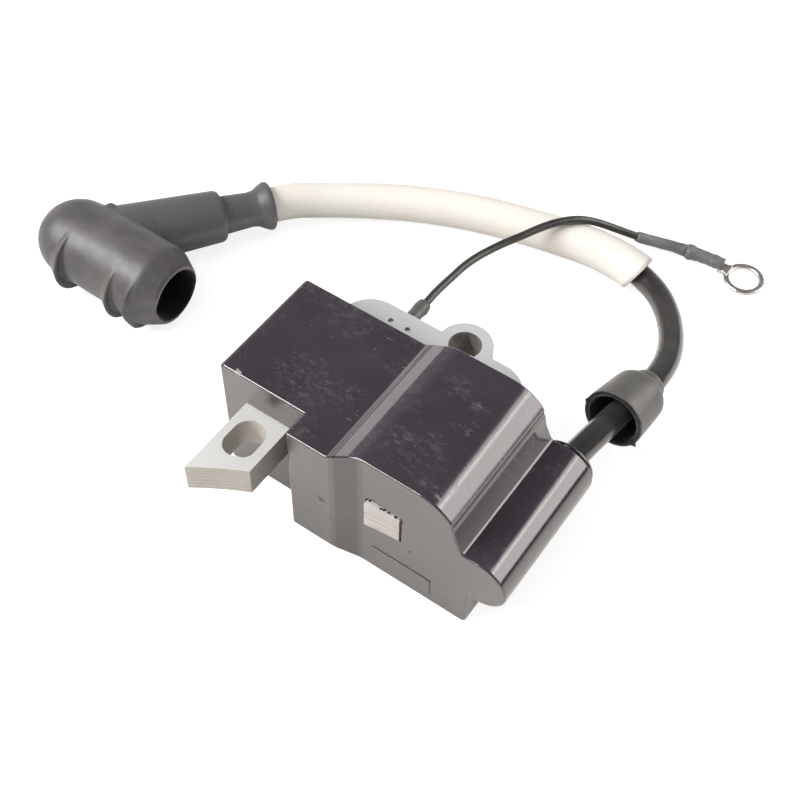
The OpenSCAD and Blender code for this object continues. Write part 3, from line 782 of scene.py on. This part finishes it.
# Raised marks of the mould on the front: a dimple with its ring, a pip and a plain plate
TOWARDS_FRONT = (0, -1, 0)
dimple = [(1.05, 0), (1.0, 0.08), (0.85, 0.13), (0.55, 0.12), (0.4, 0.24), (0.2, 0.3)]
pip = [(0.3, 0), (0.24, 0.12), (0.12, 0.18)]
plate = [(4.4, 2.2), (16.8, 2.2), (16.8, 6.8), (4.4, 6.8)]
marks = [
    lathe("mark", dimple, (-6, PROUD_FRONT + 0.05, 13.5), TOWARDS_FRONT, 32),
    lathe("pip", pip, (12.2, CASE_FRONT + 0.05, 12.3), TOWARDS_FRONT, 20),
    bevelled(prism("plate", plate, CASE_FRONT - 0.22, CASE_FRONT + 0.3, "Y"), 0.18, 4),
]
for mark in marks:
    boolean(case, mark, "UNION")

# Hollow inside, a thin groove on the slope, and the tower's bore
WALL = 1.6
inner_view = [
    (CASE_LEFT + WALL, -1), (CASE_RIGHT - WALL, -1), (CASE_RIGHT - WALL, 7.4), (18.7, 9.4), (18.7, 25.5),
    (17.4, 28.6), (14.3, HIGH_TOP - WALL), (1.2, HIGH_TOP - WALL),
    (-3.6, LOW_TOP - WALL), (CASE_LEFT + WALL, LOW_TOP - WALL),
]
inner_plan = [
    (CASE_LEFT + WALL, LOW_FRONT + WALL), (STEP_X + WALL, LOW_FRONT + WALL),
    (STEP_X + WALL, PROUD_FRONT + WALL), (-3, PROUD_FRONT + WALL), (1.4, CASE_FRONT + WALL),
    (40, CASE_FRONT + WALL), (40, CASE_BACK - WALL), (CASE_LEFT + WALL, CASE_BACK - WALL),
]
cavity = prism("cavity", inner_view, -30, 30, "Y")
boolean(cavity, prism("inner", inner_plan, -2, 40, "Z"), "INTERSECT")
boolean(case, cavity, "DIFFERENCE")
groove = prism("groove", [(-3.0, 28.75), (-2.85, 28.84), (-3.1, 30), (-3.3, 30)], -30, 30, "Y")
boolean(case, groove, "DIFFERENCE")
tower_bore = [(2.8, 0), (2.8, 22.0), (3.9, 22.0), (3.9, 30)]
boolean(case, lathe("bore", tower_bore, (TOWER[0], -12.5, TOWER[1]), (0, 1, 0), 48), "DIFFERENCE")
way_out = lathe("way_out", [(1.55, 0), (1.55, 6)], (WIRE_HOLE[0], 10, WIRE_HOLE[1]), (0, 1, 0), 32)
boolean(case, way_out, "DIFFERENCE")


def ragged(x0, x1, z0, z1, rise, seed):
    """Rectangle whose top edge is torn, as resin leaves it."""
    draw = np.random.default_rng(seed)
    steps = 22
    outline = [(x0, z0), (x1, z0)]
    for i in range(steps + 1):
        share = 1 if 0 < i < steps else 0.2
        outline.append((x1 - (x1 - x0) * i / steps, z1 + rise * (0.25 + 0.75 * draw.random()) * share))
    return outline


windows = [
    prism("window", ragged(3.05, 10.5, CORE_LOW - 0.1, CORE_HIGH + 0.25, 0.75, 11), -25, -5, "Y"),
    prism("window", ragged(-26.1, -16.2, CORE_LOW - 0.1, CORE_HIGH + 0.04, 0.12, 12), -20, -5, "Y"),
    box("window", (3.15, 5, CORE_LOW - 0.1), (10.25, 20, CORE_HIGH + 0.1)),
    box("window", (-26.1, 5, CORE_LOW - 0.1), (-16.2, 20, CORE_HIGH + 0.1)),
]
for window in windows:
    boolean(case, window, "DIFFERENCE")
weighted(case, 40)

# Polished above, eroded on the walls, and duller on the slanting strip of the front
TOWER_POLISH_LOW, POLISH_LOW, TOWER_START = 17.2, 20.9, 22
finish_piece(case, [gloss, matt, half_strip, strip], "coil", "case", "case_shell")
for face in case.data.polygons:
    c, n = face.center / MM, face.normal
    high = c.z > TOWER_POLISH_LOW if c.x > TOWER_START else c.z > POLISH_LOW and c.x > CASE_LEFT + 0.3
    polished = -0.35 < n.y < 0.9 and n.z > -0.2 and high
    rounded = n.z > 0.25 and c.z > POLISH_LOW
    slant = n.x if n.y < -0.9 and abs(n.z) < 0.1 and -4.2 < c.x < 2.7 else 0
    face.material_index = 0 if polished or rounded else 3 if slant > 0.16 else 2 if slant > 0.05 else 1

# ------------------------------------------------------------------ core
LUG, HOLE_R = (-1.75, 22.7), 3.1
FLYWHEEL, FLYWHEEL_R = (13.7, -84.4), 69.0
DIMPLES_X, DIMPLES_Y = (-16.3, -12.5), 19.6


def slot_outline():
    """Adjusting slot with two lobes at its front end."""
    x, y = -21.3, -16.4
    lobes = arc((x - 0.45, y - 2.45), 2.65, 180, 309.6, 20) + arc((x + 1.05, y - 2.45), 2.05, 275.3, 360, 14)
    return arc((x, y), HOLE_R, 0, 180, 24) + lobes


def pole_face(x0, x1, steps):
    """Arc of the flywheel's circle, from x0 to x1."""
    (x, y), r = FLYWHEEL, FLYWHEEL_R
    return [(at, y + math.sqrt(r**2 - (at - x) ** 2)) for at in np.linspace(x0, x1, steps)]


sheet_outline = pole_face(-26, -16.3, 8) + [(-16.3, 13.2), (-15.8, 13.7), (2.8, 13.7), (3.3, 13.2)]
sheet_outline += pole_face(3.3, 10.1, 5) + [(10.1, 13.2), (10.6, 13.7), (13.5, 13.7)]
sheet_outline += arc((7.0, 16.4), 6.5, 0, 90, 14) + arc(LUG, 5.3, 2.2, 177.8, 30)
sheet_outline += arc((-18.7, 16.4), 6.5, 90, 180, 14) + [(-25.2, 13.7), (-26, 13.7)]
sheet = prism("sheet", sheet_outline, 0, SHEET_T - 0.012, "Z")
boolean(sheet, prism("slot", slot_outline(), -1, 1, "Z"), "DIFFERENCE")
boolean(sheet, lathe("hole", [(HOLE_R, -1), (HOLE_R, 1)], (*LUG, 0), (0, 0, 1), 64), "DIFFERENCE")
bevelled(sheet, 0.04, 2)
stack = bmesh.new()
draw = np.random.default_rng(5)
for i in range(SHEETS):
    piece = sheet.data.copy()
    shift = draw.uniform(-0.015, 0.015, 2)
    piece.transform(Matrix.Translation(Vector((shift[0], shift[1], CORE_LOW + i * SHEET_T)) * MM))
    stack.from_mesh(piece)
    bpy.data.meshes.remove(piece)
stack.to_mesh(sheet.data)
stack.free()
core = sheet
core.name = "lamination_stack"
for x in DIMPLES_X:
    pit = lathe("dimple", [(0.3, -0.6), (0.6, 0.2)], (x, DIMPLES_Y, CORE_HIGH), (0, 0, 1), 24)
    boolean(core, pit, "DIFFERENCE")
weighted(core, 45)
finish_piece(core, [steel, shaded_bore_steel], "coil", "core_steel", "core_laminations")
# The walls of the lug hole and of the dimples take the steel with painted shade
for face in core.data.polygons:
    c, n = face.center / MM, face.normal
    in_lug = math.hypot(c.x - LUG[0], c.y - LUG[1]) < HOLE_R + 0.1
    in_dimple = min(math.hypot(c.x - x, c.y - DIMPLES_Y) for x in DIMPLES_X) < 0.65 and c.z > CORE_HIGH - 0.7
    face.material_index = 1 if (in_lug or in_dimple) and abs(n.z) < 0.95 else 0

# Dark resin that shows round the coil leg's end
resin_edge = ragged(2.9, 10.8, CORE_LOW - 0.3, CORE_HIGH + 0.4, 0.9, 23)
leg_resin = prism("leg_resin", resin_edge, CASE_FRONT + 0.75, CASE_FRONT + 1.3, "Y")
leg = pole_face(3.25, 10.15, 5) + [(10.15, 0), (3.25, 0)]
boolean(leg_resin, prism("leg", leg, CORE_LOW - 0.04, CORE_HIGH + 0.04, "Z"), "DIFFERENCE")
draw = np.random.default_rng(31)
for i in range(9):
    x = 3.6 + 6.6 * draw.random()
    size = draw.uniform(0.16, 0.3) if i else 0.5
    spot = (10.3, CASE_FRONT + 0.25, CORE_HIGH - 0.3)
    if i:
        spot = (x, CASE_FRONT + draw.uniform(-0.1, 0.3), CORE_HIGH + draw.uniform(-0.02, 0.12))
    blob = []
    for t in np.linspace(0.3, 2.9, 7):
        blob.append((size * math.sin(t) * draw.uniform(0.8, 1.1), -size * 0.6 * math.cos(t)))
    boolean(leg_resin, lathe("blob", blob, spot, (0, 0, 1), 14), "UNION")
finish_piece(weighted(leg_resin, 40), resin, "coil", "potting")

# ------------------------------------------------------------------ grommet and seal cup
lip = [
    (2.62, -3.6), (3.85, -3.6), (3.85, -0.1), (4.6, 0.02), (5.15, 0.08), (5.38, 0.3), (5.42, 0.55),
    (5.3, 0.85), (4.95, 1.02), (4.3, 1.04), (3.75, 0.98), (3.45, 1.15), (3.5, 1.5), (3.35, 1.95),
    (3.05, 2.2), (2.8, 2.3), (2.62, 2.2),
]
grommet = lathe("lead_grommet_lip", lip, (TOWER[0], CASE_BACK, TOWER[1]), (0, 1, -0.04), 72, closed=True)
finish_piece(grommet, grommet_rubber, "coil", "grommet", "lead_grommet")

LINE = np.array([0.09, 1, -0.16])
LINE = LINE / np.linalg.norm(LINE)
LEAD_START, CUP_TRAVEL, CUP_SEAT = np.array([TOWER[0], 14, TOWER[1]]), 13.8, 1.65
CUP_MOUTH = LEAD_START + LINE * (CUP_TRAVEL + CUP_SEAT)
cup_profile = [
    (5.0, 0.0), (5.75, 0.0), (5.95, 0.08), (6.02, 0.3), (6.0, 0.8), (5.85, 3), (5.65, 6), (5.5, 8),
    (5.42, 8.8), (5.3, 9.3), (5.02, 9.8), (4.6, 10.2), (4.15, 10.5), (3.7, 10.75), (3.5, 11.0),
    (3.42, 11.5), (3.38, 12.6), (3.3, 12.9), (3.1, 13.0), (2.75, 12.95), (2.66, 12.8), (2.64, 9.2),
    (3.2, 8.6), (4.4, 7.6), (4.78, 6.9), (4.86, 6.2), (4.88, 0.6), (4.92, 0.15),
]
cup = lathe("seal_cup_skin", cup_profile, CUP_MOUTH, LINE, 96, closed=True)
turn = frame_along(LINE)
points = np.array([v.co for v in cup.data.vertices]) / MM
local = (points - CUP_MOUTH) @ turn
angle = np.arctan2(local[:, 1], local[:, 0])
# Tags of flash on the rim, as (angle, size), and a slightly oval mouth
for place, size in ((-2.68, 0.75), (0.1, 0.4), (2.6, 0.25)):
    off = (angle - place + math.pi) % (2 * math.pi) - math.pi
    near = np.exp(-((off / 0.06) ** 2)) * np.exp(-((local[:, 2] / 0.5) ** 2))
    radial = np.hypot(local[:, 0], local[:, 1])
    grow = 1 + size * near * (radial > 5.4) / radial
    local[:, :2] *= grow[:, None]
local[:, :2] *= (1 + 0.012 * np.cos(2 * angle + 0.7) * np.exp(-local[:, 2] / 6))[:, None]
cup.data.vertices.foreach_set("co", ((local @ turn.T + CUP_MOUTH) * MM).astype(np.float32).ravel())
cup.data.update()
finish_piece(cup, [cup_rubber, cup_rim_and_inside_shade], "cup", "rubber", "seal_cup")
# The rim face and the inward faces up to 12 mm in take the near-black painted shade
for face in cup.data.polygons:
    place = (np.array(face.center) / MM - CUP_MOUTH) @ turn
    inward = np.dot((np.array(face.normal) @ turn)[:2], place[:2]) < 0
    face.material_index = 1 if place[2] < 0.14 or (inward and place[2] < 12) else 0

# ------------------------------------------------------------------ plug boot
ELBOW, ARM_MOUTH = np.array([-84, 8, 9.6]), np.array([-63, 40.6, 6.6])
BARREL_R, BARREL_END, BARREL_MOUTH, RIBS = 8.6, -86.2, -60.1, (-83.9, -70.4, -65.4)
BOOT_LOW, BOOT_HIGH, BOOT_PITCH = (-96, -3.5, -0.4), (-58, 45.5, 20), 0.27
ARM_PROFILE = [
    (0, 6.6), (6, 6.45), (27.5, 5.4), (28.1, 5.1), (28.4, 4.0), (34.6, 3.6), (36.0, 3.8), (37.4, 4.6),
    (38.3, 5.05), (38.9, 5.1), (39.2, 4.8),
]
ARM_AXIS = (ARM_MOUTH - ELBOW) / np.linalg.norm(ARM_MOUTH - ELBOW)


def blend_min(a, b, k):
    """Lower of two distances, rounded over k where they meet."""
    h = np.clip(0.5 + 0.5 * (b - a) / k, 0, 1)
    return b + (a - b) * h - k * h * (1 - h)


def blend_max(a, b, k):
    """Higher of two distances, rounded over k where they meet."""
    return -blend_min(-a, -b, k)


def turned(axial, radial, profile):
    """Distance to a solid of revolution whose (height, radius) outline is closed along its axis."""
    pts = np.array([(profile[0][0], 0.0)] + list(profile) + [(profile[-1][0], 0.0)], float)
    best = np.full(axial.shape, 1e9)
    inside = np.zeros(axial.shape, bool)
    for (a0, r0), (a1, r1) in zip(pts[:-1], pts[1:]):
        da, dr = a1 - a0, r1 - r0
        t = np.clip(((axial - a0) * da + (radial - r0) * dr) / max(da * da + dr * dr, 1e-9), 0, 1)
        if not (r0 == 0 and r1 == 0):
            best = np.minimum(best, (axial - a0 - t * da) ** 2 + (radial - r0 - t * dr) ** 2)
        if a1 != a0:
            lo, hi = min(a0, a1), max(a0, a1)
            edge_r = r0 + (axial - a0) / da * dr
            inside |= (axial >= lo) & (axial < hi) & (radial < edge_r)
    return np.where(inside, -1, 1) * np.sqrt(best)


def boot_field(x, y, z):
    """Distance to the boot's surface: barrel, arm and bores."""
    dy, dz = y - ELBOW[1], z - ELBOW[2]
    # Barrel: leans a little to the front, blunt round end, long cone down to the mouth
    drift = 0.5 * np.clip((x - ELBOW[0]) / 24, 0, 1)
    blunt = 1 + 0.09 * np.clip((-77.5 - x) / 9, 0, 1) * np.clip(dz / 4, 0, 1)
    radial = np.hypot(dy + drift, dz * blunt)
    along = np.clip(x, BARREL_END, None)
    barrel = np.hypot(radial, x - along) - BARREL_R
    barrel = blend_max(barrel, (x + 64.3) * 0.463 + (radial - BARREL_R) * 0.886, 0.35)
    # Grip ribs: each a cone on the low front side that ends in a steep face
    rib_off = np.hypot(dy + 2.0, dz + 1.15)
    for place in RIBS:
        taper = np.where(x < place, 0.62 * (place - x), 0)
        rib = blend_max(rib_off - (8.45 - taper), x - place - 0.06 * (dz + 4), 0.3)
        barrel = blend_min(barrel, blend_max(rib, place - 5.5 - x, 0.3), 0.25)
    # Flat left by the mould between the last rib and the mouth, then the mouth's face
    flat = (x + 63.3) * 0.58 - (y - 0.45) * 0.8 - (z - 9.6) * 0.15
    barrel = blend_max(barrel, flat, 0.15)
    barrel = blend_max(barrel, x - BARREL_MOUTH, 0.5)
    # Arm: from the elbow to the thin flared lip
    rel = [x - ELBOW[0], dy, dz]
    axial = sum(r * a for r, a in zip(rel, ARM_AXIS))
    off = np.sqrt(np.maximum(sum(r * r for r in rel) - axial * axial, 0))
    arm = turned(axial, off, ARM_PROFILE) - 0.12
    body = blend_min(barrel, arm, 1.1)
    # Stub left where the mould was filled
    nub = np.sqrt((x + 83.2) ** 2 + (y - 14.8) ** 2 + (z - 14.4) ** 2) - 1.35
    body = blend_min(body, nub, 0.4)
    # Bores
    low = np.hypot(dy + drift - 0.45, dz + 0.5)
    mouth = low - 5.4 - np.clip(x - BARREL_MOUTH + 0.8, 0, None) * 0.6
    plug = np.maximum(mouth, -(x - (BARREL_MOUTH - 14)))
    clip = np.maximum(radial - 4.0, np.abs(x - (ELBOW[0] + 8)) - 10)
    lead_way = np.maximum(off - (LEAD_D / 2 + 0.3), -axial)
    recess = np.maximum(off - 4.15 - np.clip(axial - 38.6, 0, None) * 0.6, 37.3 - axial)
    hollow = np.minimum(np.minimum(plug, clip), np.minimum(lead_way, recess))
    return blend_max(body, -hollow, 0.3)


boot = surface_net("plug_boot_skin", boot_field, BOOT_LOW, BOOT_HIGH, BOOT_PITCH)
finish_piece(boot, [boot_rubber, bore_rubber_painted_shade], "boot", "rubber", "plug_boot")
# Inward faces of the barrel's bore take the near-black painted shade
for face in boot.data.polygons:
    c, n = np.array(face.center) / MM, np.array(face.normal)
    from_axis = c[1:] - ELBOW[1:]
    inside = math.hypot(*from_axis) < 6.15 and -76 < c[0] < BARREL_MOUTH - 0.25
    face.material_index = 1 if inside and np.dot(n[1:], from_axis) < 0.5 else 0

# ------------------------------------------------------------------ studio
FLOOR_HALF, LIGHT_DISTANCE, LIGHT_TARGET = 4000, 900, Vector((-15, 25, 10))
MIRROR_NEAR, MIRROR_GLOW, CAMERA_GLOW = (0.14, 0.34), 1.56, 0.78


def floor_look(n):
    """Pale card: white to the camera, and in the coil's mirror bright near the coil and dim far off."""
    n.surface(Base_Color=n.mix(n.noise(0.02, 2), (0.5, 0.5, 0.495), (0.53, 0.53, 0.525)), Roughness=0.9)
    n.surface(Specular_IOR_Level=0.1)
    path = n.tree.nodes.new("ShaderNodeLightPath").outputs
    away = n.add("ShaderNodeVectorMath", Vector=n.object)
    away.operation = "LENGTH"
    near = n.ramp(away.outputs["Value"], *MIRROR_NEAR, 1, 0.06)
    shaded = n.add("ShaderNodeAmbientOcclusion", Distance=0.03).outputs["AO"]
    dimmer = n.ramp(n.part("X"), -62.0, -44.0, 0.2, 1)
    mirrored = n.times(path["Is Glossy Ray"], near, shaded, dimmer, MIRROR_GLOW)
    n.surface(Emission_Color=n.mix(path["Is Camera Ray"], (1, 0.94, 0.88), (1, 1, 1)))
    n.surface(Emission_Strength=n.maths("ADD", n.times(path["Is Camera Ray"], CAMERA_GLOW), mirrored))


corners = [(-1, -1, 0), (1, -1, 0), (1, 1, 0), (-1, 1, 0)]
floor = new_object("floor", np.array(corners) * FLOOR_HALF, [(0, 1, 2, 3)])
floor.data.materials.append(material("floor", floor_look))


def softbox(name, azimuth, elevation, size, power, glossy=True, matt=True):
    """Area light on a sphere round the coil, facing it. Size in millimetres."""
    a, e = math.radians(azimuth), math.radians(elevation)
    away = Vector((math.sin(a) * math.cos(e), -math.cos(a) * math.cos(e), math.sin(e)))
    data = bpy.data.lights.new(name, "AREA")
    data.shape, data.size, data.size_y, data.energy = "RECTANGLE", size[0] * MM, size[1] * MM, power
    light = bpy.data.objects.new(name, data)
    light.location = (LIGHT_TARGET + away * LIGHT_DISTANCE) * MM
    light.rotation_mode = "QUATERNION"
    light.rotation_quaternion = away.to_track_quat("Z", "Y")
    light.visible_glossy, light.visible_diffuse = glossy, matt
    collection.objects.link(light)
    return light


shiny = bpy.data.collections.new("shiny")
for piece in (case, core, grommet, cup, ring, wire, exit_sleeve, wire_shrink, terminal_shrink):
    shiny.objects.link(piece)


def card(name, azimuth, elevation, size, brightness):
    """Bright card that only the shiny pieces mirror."""
    area = size[0] * size[1] * MM * MM
    light = softbox(name, azimuth, elevation, size, brightness * math.pi * area, matt=False)
    light.data.color = (1, 0.965, 0.925)
    light.light_linking.receiver_collection = shiny


softbox("key", -50, 40, (560, 420), 8.2)
softbox("top", 20, 75, (700, 700), 2.2, glossy=False)
softbox("fill", 118, 35, (500, 300), 1.0, glossy=False)
card("right_card", 127, 27, (1000, 600), 5.1)
card("right_edge", 138, 46, (700, 150), 4.4)
card("left_card", -121, 5, (700, 160), 2.0)
card("front_card", -22, 31, (330, 300), 15.0)

world = bpy.data.worlds.new("studio")
world.use_nodes = True
bpy.context.scene.world = world
tree = world.node_tree
sky = Nodes(tree)
direction = tree.nodes.new("ShaderNodeSeparateXYZ")
tree.links.new(tree.nodes.new("ShaderNodeTexCoord").outputs["Generated"], direction.inputs[0])
height = direction.outputs["Z"]
band = sky.times(sky.ramp(height, 0.06, 0.2, 0.02, 1), sky.ramp(height, 0.5, 0.75, 1, 0.4))
seen = tree.nodes.new("ShaderNodeLightPath").outputs["Is Camera Ray"]
glow = sky.mix(band, (0, 0, 0), (0.42, 0.42, 0.425))
background = tree.nodes["Background"].inputs
tree.links.new(sky.mix(seen, glow, (0.95, 0.95, 0.95)), background["Color"])
background["Strength"].default_value = 1.0
bpy.context.scene.view_settings.view_transform = "Standard"
